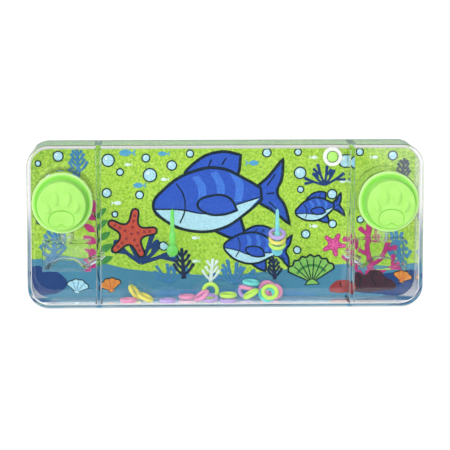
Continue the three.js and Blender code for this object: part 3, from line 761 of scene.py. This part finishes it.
red_star = star_points(red_x, red_z, 9.6, 4.2, red_turn)
pink_star = star_points(pink_x, pink_z, 4.4, 2.0, pink_turn)
spots = [(0, 0)] + [(reach, angle) for angle in arm_angles(red_turn) for reach in spot_reaches]
motif(
    "print_starfish",
    patch(4, brick_red, red_star),
    stroke(5, outline_ink, 0.8, red_star, closed=True),
    patch(5, brick_shade, *[round_points(*polar(red_x, red_z, *spot), spot_size, 6) for spot in spots]),
    patch(4, pink_ink, pink_star),
    stroke(5, magenta, 0.45, pink_star, closed=True),
    stroke(5, magenta, 0.4, *[[polar(pink_x, pink_z, reach, angle) for reach in arm_line]
                              for angle in arm_angles(pink_turn)]),
)

# Shells on the sea floor. A large green one to the right of the middle, with dark ribs and a band, and
# three small ones whose ribs are in a second ink.
rim_start, rim_sweep, rim_dip = 152, 124, 0.93
band_start, band_sweep, band_steps, band_reach = 146, 112, 8, 0.62
rib_foot, rib_top = (0.12, 0.1), 0.86
hinge_corners = [(1, 0.14, 0.06), (1, 0.26, -0.08), (-1, 0.26, -0.08), (-1, 0.14, 0.06)]


def scallop(level, fill, shade, x, z, size, turn, large=False):
    """A fan-shaped shell: scalloped rim, ribs and a small hinge."""
    ribs, line = (7, 1.0) if large else (4, 1.2)

    def at(points):
        return turned_points(points, x, z, turn)

    rim = []
    for i in range(ribs * 2 + 1):
        angle = radians(rim_start - rim_sweep * i / (ribs * 2))
        reach = size * (1.0 if i % 2 else rim_dip)
        corner = (0,) if i in (0, ribs * 2) else ()
        rim.append((*polar(0, 0, reach, angle), *corner))
    hinge = [(side * share * size, drop * size, 0) for side, share, drop in hinge_corners]
    outline = at([*rim, *hinge])
    rib_lines = []
    for i in range(1, ribs):
        angle = radians(rim_start - rim_sweep * i / ribs)
        foot = (rib_foot[0] * size * cos(angle), rib_foot[1] * size * sin(angle))
        rib_lines.append(at([foot, polar(0, 0, rib_top * size, angle)]))
    band = at([polar(0, 0, band_reach * size, radians(band_start - band_sweep * i / band_steps))
               for i in range(band_steps + 1)])
    return [
        patch(level, fill, outline),
        *([stroke(level + 1, shade, 0.09 * size, band)] if large else []),
        stroke(level + 2, outline_ink, 0.07 * size * line, outline, closed=True),
        stroke(level + 2, outline_ink if large else shade, 0.04 * size * line, *rib_lines),
    ]


motif(
    "print_shells",
    *scallop(4, shell_green, leaf_green, 33, 6.4, 10.4, 4, large=True),
    *scallop(4, orange_ink, brick_red, 66.6, 6.4, 4.4, -14),
    *scallop(3, orange_ink, brick_red, -42, 3.6, 5, 12),
    *scallop(3, pale_blue, steel_blue, -55, 3.2, 5, -10),
)

# Bubbles. Pale blue discs over dark ones that show as a rim, each with a white glint at its upper
# left. Each is its place and radius.
bubble_rim, glint_aside, glint_size = 0.5, 0.35, 0.28
bubbles = [
    (-66.5, 40, 1.1), (-69, 51.5, 0.8), (-61.5, 54.2, 1.6), (-57.5, 27.4, 1.2), (-55, 41, 0.9),
    (-43, 52.6, 2.0), (-38.6, 48.2, 1.0), (-43.6, 40.4, 1.4), (-29, 53.4, 1.2), (-27.5, 47, 2.2),
    (-31.4, 39.6, 1.2), (-40.6, 32.4, 0.8), (-12.6, 55, 1.1), (-19.4, 50.6, 1.5), (16, 55.2, 1.3),
    (28.4, 47.6, 1.9), (27.6, 55.4, 1.0), (40.4, 39.6, 1.5), (45.2, 52, 2.1), (50.6, 55.4, 1.1),
    (30.6, 24.6, 1.3), (40.6, 28.4, 1.2), (28.6, 41.4, 0.9), (-22.6, 20.4, 1.3), (27.4, 18.6, 1.1),
    (63, 54, 1.4), (69, 31, 0.9), (-68.6, 30, 0.9), (51, 30, 1.0),
]
glints = [(x - glint_aside * r, z + glint_aside * r, glint_size * r) for x, z, r in bubbles]
motif(
    "print_bubbles",
    patch(5, outline_ink, *[round_points(x, z, r + bubble_rim, 10) for x, z, r in bubbles]),
    patch(6, pale_blue, *[round_points(x, z, r, 10) for x, z, r in bubbles]),
    patch(7, white_ink, *[round_points(x, z, r, 6) for x, z, r in glints]),
)

# Small fish far off. Plain light-blue silhouettes and tiny white ones, each from its place, the way
# that it swims and its size.
small_fish = [(-2.9, 0), (-1.4, 1.15), (0.8, 0.95), (1.9, 0.2), (3.1, 1.2), (2.8, 0), (3.1, -1.2),
              (1.9, -0.2), (0.8, -0.95), (-1.4, -1.15)]
blue_shoal = [
    (-36, 55.4, 1, 1.0), (-50.4, 36.2, -1, 1.1), (-31.4, 43.2, 1, 0.8), (10.6, 51.4, -1, 0.8),
    (-17.6, 16.4, 1, 0.8), (-22.4, 55, 1, 0.7), (-62.4, 34.4, 1, 0.8), (57.6, 33, -1, 1.0),
    (62, 27.6, 1, 0.7),
]
white_shoal = [
    (-65, 47.6, 1, 0.5), (-35.6, 51, 1, 0.45), (-40, 36.6, -1, 0.6), (-22, 45.4, 1, 0.5),
    (-10.4, 14.6, 1, 0.5), (33.4, 53.4, -1, 0.5), (44.6, 44.4, 1, 0.5), (56, 53.4, -1, 0.5),
    (33.6, 27.6, -1, 0.5), (52.4, 35.6, 1, 0.5), (-10.6, 23.4, 1, 0.5),
]
motif("print_small_fish", *[
    patch(2, colour, *[turned_points(small_fish, x, z, 0, size, way) for x, z, way, size in shoal])
    for colour, shoal in ((sky_blue, blue_shoal), (white_ink, white_shoal))])

# Push buttons. Each is one moulding in soft lime rubber: a rim that grips the window with a bead
# behind it, a thin tapered wall that buckles, and a domed pad with a paw in low relief.
fine_round, small_round, full_round = 0.1 * mm, 0.2 * mm, 0.3 * mm
corner_steps, soft_angle = 5, 40
fit_gap, merge_gap = 0.02 * mm, 0.0005 * mm
rim_radius, rim_front, rim_edge = 11.1 * mm, -11.5 * mm, 0.55 * mm
moat_inner, moat_outer, moat_depth, moat_corner = 9.05 * mm, 9.75 * mm, 0.5 * mm, 0.15 * mm
neck_radius, neck_bore = 9.7 * mm, 8.4 * mm
bead_radius, bead_back = 10.3 * mm, -7.5 * mm
wall_end, wall_end_radius, wall_thick = -19.1 * mm, 8.6 * mm, 0.8 * mm
wall_foot_in, wall_foot_out, wall_shoulder, wall_step = 0.06 * mm, 0.6 * mm, 0.5 * mm, 0.2 * mm
pad_radius, pad_face, pad_edge, pad_dome = 8.8 * mm, -20.4 * mm, 0.7 * mm, 0.4 * mm
pad_skin, pad_lap, pad_back_edge, dome_share = pad_face - 0.3 * mm, 0.01 * mm, 0.25 * mm, 0.6
dome_rise, dome_round = 0.28 * mm, 1.5 * mm
palm_middle = -4.6 * mm
palm_points = [(0, -2.05), (1.3, -2.8), (2.55, -2.95), (4.1, -2.25), (4.6, -0.7), (3.95, 1.45), (2.3, 2.65),
               (0, 3.0)]
groove_radius, groove_stretch, groove_steps, groove_facets = 0.24 * mm, 2.2, 8, 4
# Place across and up, half width, half length and lean of each toe, in millimetres and degrees.
toes = [(2.25, 2.5, 1.65, 2.95, 6), (5.2, -0.6, 1.55, 2.5, 20)]
toe_depth, toe_sunk, toe_facets = 1.4 * mm, 0.65 * mm, (32, 20)
lime_light, lime_dark, rim_highlight_lime, moat_shade_lime = (
    rgb(170, 227, 114), rgb(162, 222, 104), rgb(202, 236, 168), rgb(152, 224, 98))
# Painted light on the rubber: a pale highlight round the rim's thin outer edge, then a deeper-green shade in
# the moat and on the wall behind the pad.
rim_highlight_start, rim_highlight_end, rim_highlight_share = (10.2 * mm, 10.9 * mm), (11.2 * mm, 11.3 * mm), 0.8
moat_shade_start, moat_shade_end, moat_shade_front = (8.3 * mm, 8.6 * mm), (9.7 * mm, 9.95 * mm), (-19.6 * mm, -19.1 * mm)


def softened(outline):
    """The corners of a (radius, along, rounding) outline, each rounded."""
    points = []
    for i, (radius, along, rounding) in enumerate(outline):
        corner = Vector((radius, along))
        if not rounding:
            points.append(corner)
            continue
        before, after = (Vector(outline[j][:2]) for j in (i - 1, (i + 1) % len(outline)))
        start = corner + (before - corner).normalized() * rounding
        end = corner + (after - corner).normalized() * rounding
        for step in range(corner_steps + 1):
            share = step / corner_steps
            points.append(start.lerp(corner, share).lerp(corner.lerp(end, share), share))
    return points


def turned(name, outline, place, axis=(0, 1, 0), sides=wide_sides):
    """A solid turned about an axis through a place, from its (radius, along the axis, rounding) outline."""
    place, axis = Vector(place), Vector(axis).normalized()
    outwards = axis.orthogonal().normalized()
    points = softened(outline)
    deselect()
    bpy.ops.mesh.primitive_circle_add(vertices=len(points), radius=mm)
    piece = bpy.context.object
    for vertex, (radius, along) in zip(piece.data.vertices, points):
        vertex.co = place + outwards * radius + axis * along
    bpy.ops.object.mode_set(mode="EDIT")
    bpy.ops.mesh.select_all(action="SELECT")
    bpy.ops.mesh.spin(steps=sides, angle=2 * pi, center=place, axis=axis)
    bpy.ops.mesh.select_all(action="SELECT")
    bpy.ops.mesh.remove_doubles(threshold=merge_gap)
    bpy.ops.mesh.delete_loose()
    bpy.ops.mesh.normals_make_consistent(inside=False)
    bpy.ops.object.mode_set(mode="OBJECT")
    return placed(name)


def copied(piece, name, matrix):
    """A copy with its own mesh, put in place by a matrix."""
    twin = piece.copy()
    twin.data = piece.data.copy()
    twin.name = twin.data.name = name
    twin.data.transform(matrix)
    bpy.context.collection.objects.link(twin)
    return twin


# Fine matt grain and slight cloudiness, with a painted pale highlight round the rim's thin outer edge and a
# painted deeper-green shade in the moat and on the wall behind the pad.
soft_lime, place = new_material("soft_lime")
cloud, fine = grain(place, 5 * mm), grain(place, 0.25 * mm, 3.0)
bump = place.node("Bump", sockets={"Strength": 0.08, "Distance": 0.05 * mm, "Height": fine})
across, up = abs(place.axis(0)) - button_across, place.axis(2) - button_up
reach = place.math("SQRT", across * across + up * up)
# Painted pale highlight round the rim's thin outer edge.
rim_highlight = reach.step(*rim_highlight_start) * (1 - reach.step(*rim_highlight_end)) * rim_highlight_share
# Painted shade: deeper green in the moat and on the wall behind the pad.
deep = reach.step(*moat_shade_start) * (1 - reach.step(*moat_shade_end)) * place.axis(1).step(*moat_shade_front)
colour = rim_highlight.blend(cloud.step(0.3, 0.7).blend(lime_dark, lime_light), rim_highlight_lime)
show(place.node("BsdfPrincipled", sockets={
    "Base Color": deep.blend(colour, moat_shade_lime), "Roughness": 0.36 + 0.1 * fine,
    "Subsurface Weight": 0.22, "Subsurface Radius": (1, 1, 0.8), "Subsurface Scale": 0.9 * mm,
    "Normal": bump}))

button_axis = (button_across, 0, button_up)
moat_floor = rim_front + moat_depth
rim = turned("right_rim", [
    (neck_bore, bead_back, fine_round), (bead_radius, bead_back, full_round),
    (bead_radius, window_back + fit_gap, 0), (neck_radius, window_back + fit_gap, 0),
    (neck_radius, front - fit_gap, 0), (rim_radius, front - fit_gap, 0), (rim_radius, rim_front, rim_edge),
    (moat_outer, rim_front, small_round), (moat_outer, moat_floor, moat_corner),
    (moat_inner, moat_floor, 0), (neck_bore, moat_floor, 0)], button_axis)
sleeve = turned("right_sleeve", [
    (neck_bore, moat_floor - fit_gap, 0), (moat_inner, moat_floor - fit_gap, 0),
    (moat_inner - wall_foot_in, rim_front - wall_foot_out, full_round),
    (wall_end_radius + wall_step, wall_end + wall_shoulder, small_round),
    (wall_end_radius - wall_step, wall_end + wall_step, fine_round),
    (wall_end_radius - wall_step, wall_end, 0), (wall_end_radius - wall_thick, wall_end, 0)], button_axis)
disc = turned("right_pad", [
    (0, wall_end - pad_lap, 0), (pad_radius, wall_end - pad_lap, pad_back_edge),
    (pad_radius, pad_face, pad_edge), (pad_radius * dome_share, pad_face - dome_rise, dome_round),
    (0, pad_face - pad_dome, 0)], button_axis)

bumps = []
for side in (-1, 1):
    for across, up, half_width, half_length, lean in toes:
        deselect()
        bpy.ops.mesh.primitive_uv_sphere_add(
            segments=toe_facets[0], ring_count=toe_facets[1], rotation=(0, radians(side * lean), 0),
            location=(button_across + side * across * mm, pad_skin + toe_sunk, button_up + up * mm),
            scale=(half_width * mm, toe_depth, half_length * mm))
        bumps.append(placed("toe"))
combine(disc, "UNION", bumps)
palm_outline = [(button_across / mm + side * x, button_up / mm + palm_middle / mm + z)
                for side, points in ((1, palm_points), (-1, palm_points[-2:0:-1])) for x, z in points]
curve = drawn([palm_outline], True, y=pad_skin)
curve.dimensions, curve.fill_mode, curve.resolution_u = "3D", "FULL", groove_steps
curve.bevel_depth, curve.bevel_resolution = groove_radius, groove_facets
bpy.ops.object.convert(target="MESH")
groove = placed("palm_groove")
merge_points()
for vertex in groove.data.vertices:
    vertex.co.y = pad_skin + groove_stretch * (vertex.co.y - pad_skin)
combine(disc, "DIFFERENCE", [groove])
for piece in (rim, sleeve, disc):
    smooth(piece, soft_angle)

for side, name in ((1, "right"), (-1, "left")):
    place = Vector((side * button_across, 0, button_up))
    if side < 0:
        move = Matrix.Translation((-2 * button_across, 0, 0))
        rim, sleeve, disc = (
            copied(piece, piece.name.replace("right", "left"), move) for piece in (rim, sleeve, disc))
    dress(rim, soft_lime, "case", "soft_lime", name + "_button_rim")
    sleeve.data.materials.clear()
    sleeve.data.materials.append(soft_lime)
    place + Vector((0, rim_front, 0))
    place + Vector((0, wall_end, 0))
    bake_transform(sleeve)
    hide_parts(name + "_button_wall")
    dress(disc, soft_lime, name + "_button", "soft_lime", name + "_button_pad")

# Pumps. Clear polystyrene cups glued behind the buttons, each with a duct under it that a ramp
# turns sideways, and a short tapered jet through the divider.
cup_radius, cup_wall, cup_floor, cup_gap, cup_corner = 11.5 * mm, 0.9 * mm, 1.0 * mm, 0.05 * mm, 0.6 * mm
duct_across, duct_depth, throat_hole, throat_top = 58.4 * mm, 3.2 * mm, 2.9 * mm, 1.8 * mm
duct_edge, duct_edge_facets, flat_angle, corner_angle = 0.18 * mm, 2, radians(2), radians(40)
jet_start, jet_rise = Vector((50.3, 3.2, 15.3)) * mm, radians(28)
jet_radius, jet_bore, jet_tip_radius, jet_reach = 1.5 * mm, 0.8 * mm, 1.1 * mm, 1.4 * mm
tank_edge = divider_across - divider / 2
jet_length = (jet_start.x - tank_edge + jet_reach) / cos(jet_rise)

cup_inside, cup_mouth, cup_foot = cup_radius - cup_wall, window_back + cup_gap, button_up - cup_radius
cup = turned("right_cup", [
    (0, plateau_front - fit_gap, 0), (cup_radius, plateau_front - fit_gap, full_round),
    (cup_radius, cup_mouth, fine_round), (cup_inside, cup_mouth, fine_round),
    (cup_inside, plateau_front - cup_floor, cup_corner), (0, plateau_front - cup_floor, 0)], button_axis)
combine(cup, "DIFFERENCE", [rod("hole", throat_hole, (duct_across, duct_depth, cup_foot - wall),
                                (duct_across, duct_depth, cup_foot + throat_top), slim_sides)])
smooth(cup)

duct = copied(frame["nodes"]["right_pump_duct"], "right_duct", Matrix.Identity(4))
duct.parent = None
activate(duct)
bpy.ops.object.mode_set(mode="EDIT")
bpy.ops.mesh.select_all(action="SELECT")
bpy.ops.mesh.remove_doubles(threshold=same_place)
bpy.ops.mesh.dissolve_limited(angle_limit=flat_angle)
bpy.ops.object.mode_set(mode="OBJECT")
bevel = duct.modifiers.new("moulded_edges", "BEVEL")
bevel.width, bevel.segments = duct_edge, duct_edge_facets
bevel.limit_method, bevel.angle_limit = "ANGLE", corner_angle
bpy.ops.object.modifier_apply(modifier=bevel.name)
smooth(duct)

for side in (-1, 1):
    start = Vector((side * jet_start.x, *jet_start.yz))
    along = Vector((-side * cos(jet_rise), 0, sin(jet_rise)))
    jet = turned("jet", [
        (0, 0, 0), (jet_radius, 0, fine_round), (jet_radius, jet_length - jet_reach, small_round),
        (jet_tip_radius, jet_length, fine_round), (0, jet_length, 0)], start, along, slim_sides)
    bore = rod("bore", jet_bore, start - along * wall, start + along * (jet_length + wall), bore_sides)
    combine(case_front, "UNION", [jet])
    combine(case_front, "DIFFERENCE", [bore])
case_front.name = case_front.data.name = "clear_case"
smooth(case_front)
dress(case_front, clear_plastic, "case", "clear_plastic", "front_case", "rear_cover", "left_jet", "right_jet")

mirror = Matrix.Scale(-1, 4, (1, 0, 0))
for name in ("right", "left"):
    if name == "left":
        cup, duct = (copied(piece, piece.name.replace("right", "left"), mirror) for piece in (cup, duct))
        cup.data.flip_normals()
        duct.data.flip_normals()
    dress(cup, clear_plastic, "case", "clear_plastic", name + "_pump_cup")
    dress(duct, clear_plastic, "case", "clear_plastic", name + "_pump_duct")

# Pegs. Translucent aqua plastic, each an arm pressed into a boss of the rear cover, with an upright
# tapered spike near its front end that catches the rings.
arm_radius, arm_front, arm_edge = 2.1 * mm, -0.6 * mm, 0.5 * mm
stem_radius, stem_height, stem_taper = 1.15 * mm, 26.4 * mm - arm_up, 0.4 * mm
spike_radius, tip_radius, spike_height = 0.82 * mm, 0.62 * mm, 35.4 * mm - arm_up
groove_depth, groove_width = 0.36 * mm, 0.2 * mm
stem_grooves = [(stem_radius - drop * groove_depth, height * mm + rise * groove_width, 0)
                for height in (2.15, 2.85) for drop, rise in ((0, -1), (1, -0.4), (1, 0.4), (0, 1))]


def tinted_plastic(name, tint, pale):
    """Translucent tinted plastic with faint flow lines."""
    material, place = new_material(name)
    flow = grain(place, 3 * mm)
    body = place.node("BsdfPrincipled", sockets={
        "Base Color": flow.step(0.3, 0.7).blend(tint, pale), "Roughness": 0.05 + 0.06 * flow, "IOR": 1.25,
        "Transmission Weight": 0.5})
    open_way = place.node("BsdfTransparent", sockets={"Color": pale})
    shadow = place.node("LightPath", output="Is Shadow Ray")
    show(place.node("MixShader", sockets={0: shadow, 1: body, 2: open_way}))
    return material


pegs = {"left": tinted_plastic("aqua_green", rgb(142, 242, 112), rgb(164, 248, 150)),
        "right": tinted_plastic("aqua_blue", rgb(150, 236, 252), rgb(184, 248, 255))}
for name, side in (("left", -1), ("right", 1)):
    foot = Vector((side * peg_across, 0, arm_up))
    peg = turned(name + "_peg_moulding", [
        (0, plateau_front - fit_gap, 0), (arm_radius, plateau_front - fit_gap, small_round),
        (arm_radius, arm_front, arm_edge), (0, arm_front, 0)], foot, (0, 1, 0), slim_sides)
    spike = turned("spike", [
        (0, 0, 0), (stem_radius, 0, 0), *stem_grooves, (stem_radius, stem_height, small_round),
        (spike_radius, stem_height + stem_taper, full_round),
        (tip_radius, spike_height - tip_radius, full_round),
        (0, spike_height, 0)], foot, (0, 0, 1), slim_sides)
    combine(peg, "UNION", [spike])
    smooth(peg, soft_angle)
    dress(peg, pegs[name], "case", "aqua_plastic", name + "_peg")

# Filler. A white collar glued in the window, closed by a small lime stopper with a domed head, which
# pulls out towards the player.
collar_radius, collar_front, collar_edge = 3.5 * mm, -11.2 * mm, 0.4 * mm
collar_groove, collar_groove_half, collar_groove_depth = 2.58 * mm, 0.12 * mm, 0.2 * mm
tube_radius, tube_back, tube_bore, bore_edge = 2.75 * mm, -6.4 * mm, 2.15 * mm, 0.12 * mm
stopper_radius, stopper_dome, stopper_sides = 1.9 * mm, 0.35 * mm, 64
head_rise, head_round = 0.28 * mm, 0.4 * mm
tail_radius, tail_back = 1.3 * mm, -5.6 * mm
filler_axis = (filler_across, 0, filler_up)

white_plastic, place = new_material("white_plastic")
specks = grain(place, 0.8 * mm, 3.0)
show(place.node("BsdfPrincipled", sockets={
    "Base Color": specks.step(0.35, 0.7).blend(rgb(216, 221, 217), rgb(229, 232, 228)),
    "Roughness": 0.28 + 0.12 * specks, "Subsurface Weight": 0.1, "Subsurface Radius": (1, 1, 1),
    "Subsurface Scale": 0.8 * mm}))
collar = turned("filler_ring", [
    (tube_bore, tube_back, fine_round), (tube_radius, tube_back, fine_round),
    (tube_radius, front - fit_gap, 0), (collar_radius, front - fit_gap, 0),
    (collar_radius, collar_front, collar_edge),
    (collar_groove + collar_groove_half, collar_front, fine_round),
    (collar_groove, collar_front + collar_groove_depth, fine_round / 2),
    (collar_groove - collar_groove_half, collar_front, fine_round),
    (tube_bore, collar_front, bore_edge)], filler_axis)
smooth(collar, soft_angle)
dress(collar, white_plastic, "case", "white_plastic", "filler_collar")
plug = turned("filler_plug", [
    (0, tail_back, 0), (tail_radius, tail_back, small_round), (stopper_radius, tube_back, fine_round),
    (stopper_radius, collar_front, full_round),
    (stopper_radius * dome_share, collar_front - head_rise, head_round),
    (0, collar_front - stopper_dome, 0)], filler_axis, sides=stopper_sides)
smooth(plug, soft_angle)
dress(plug, soft_lime, "stopper", "soft_lime", "filler_stopper")

# Rings. Small moulded hoops in five colours of slightly translucent plastic, flattened a little, with
# a fine parting line round the outside. Most lie loose on the floor and three hang on the right peg.
ring_radius, ring_tube, ring_flat, parting = 2.5 * mm, 0.75 * mm, 0.96, 0.03 * mm
hoop_facets, hoop_angle, ring_deep = 20, 60, 0.92
ring_colours = {"pink": (240, 160, 200), "yellow": (238, 226, 122), "purple": (198, 172, 230),
                "green": (200, 238, 112), "cyan": (124, 222, 222)}


def ring_plastic(colour):
    """Slightly cloudy, slightly translucent plastic."""
    material, place = new_material("ring_" + colour)
    full = rgb(*ring_colours[colour])
    deep = tuple(share * ring_deep for share in full[:3]) + (1,)
    cloud = grain(place, 1.6 * mm)
    show(place.node("BsdfPrincipled", sockets={
        "Base Color": cloud.step(0.3, 0.7).blend(deep, full), "Roughness": 0.26 + 0.12 * cloud,
        "Subsurface Weight": 0.5, "Subsurface Radius": (1, 1, 1), "Subsurface Scale": 0.9 * mm}))
    return material


section = []
for step in range(hoop_facets):
    angle = 2 * pi * step / hoop_facets
    reach = ring_tube + (parting if step == 0 else 0)
    section.append((ring_radius + reach * cos(angle), ring_flat * ring_tube * sin(angle), 0))
ring = turned("ring", section, (0, 0, 0), (0, 0, 1), slim_sides)
smooth(ring, hoop_angle)
ring_finish = {colour: ring_plastic(colour) for colour in ring_colours}
for node_name, node in list(frame["nodes"].items()):
    if "_ring" not in node_name:
        continue
    colour = node_name.split("_")[0]
    points = np.array([vertex.co for vertex in node.data.vertices])
    middle = points.mean(axis=0)
    normal = Vector(np.linalg.svd(points - middle, full_matrices=False)[2][2])
    lay = Matrix.Translation(middle) @ Vector((0, 0, 1)).rotation_difference(normal).to_matrix().to_4x4()
    hoop = copied(ring, node_name.replace("ring", "hoop"), lay)
    body = next(body for body, nodes in frame["record"]["behaviour"]["bodies"].items() if node_name in nodes)
    dress(hoop, ring_finish[colour], body, colour + "_plastic", node_name)
bpy.data.objects.remove(ring)
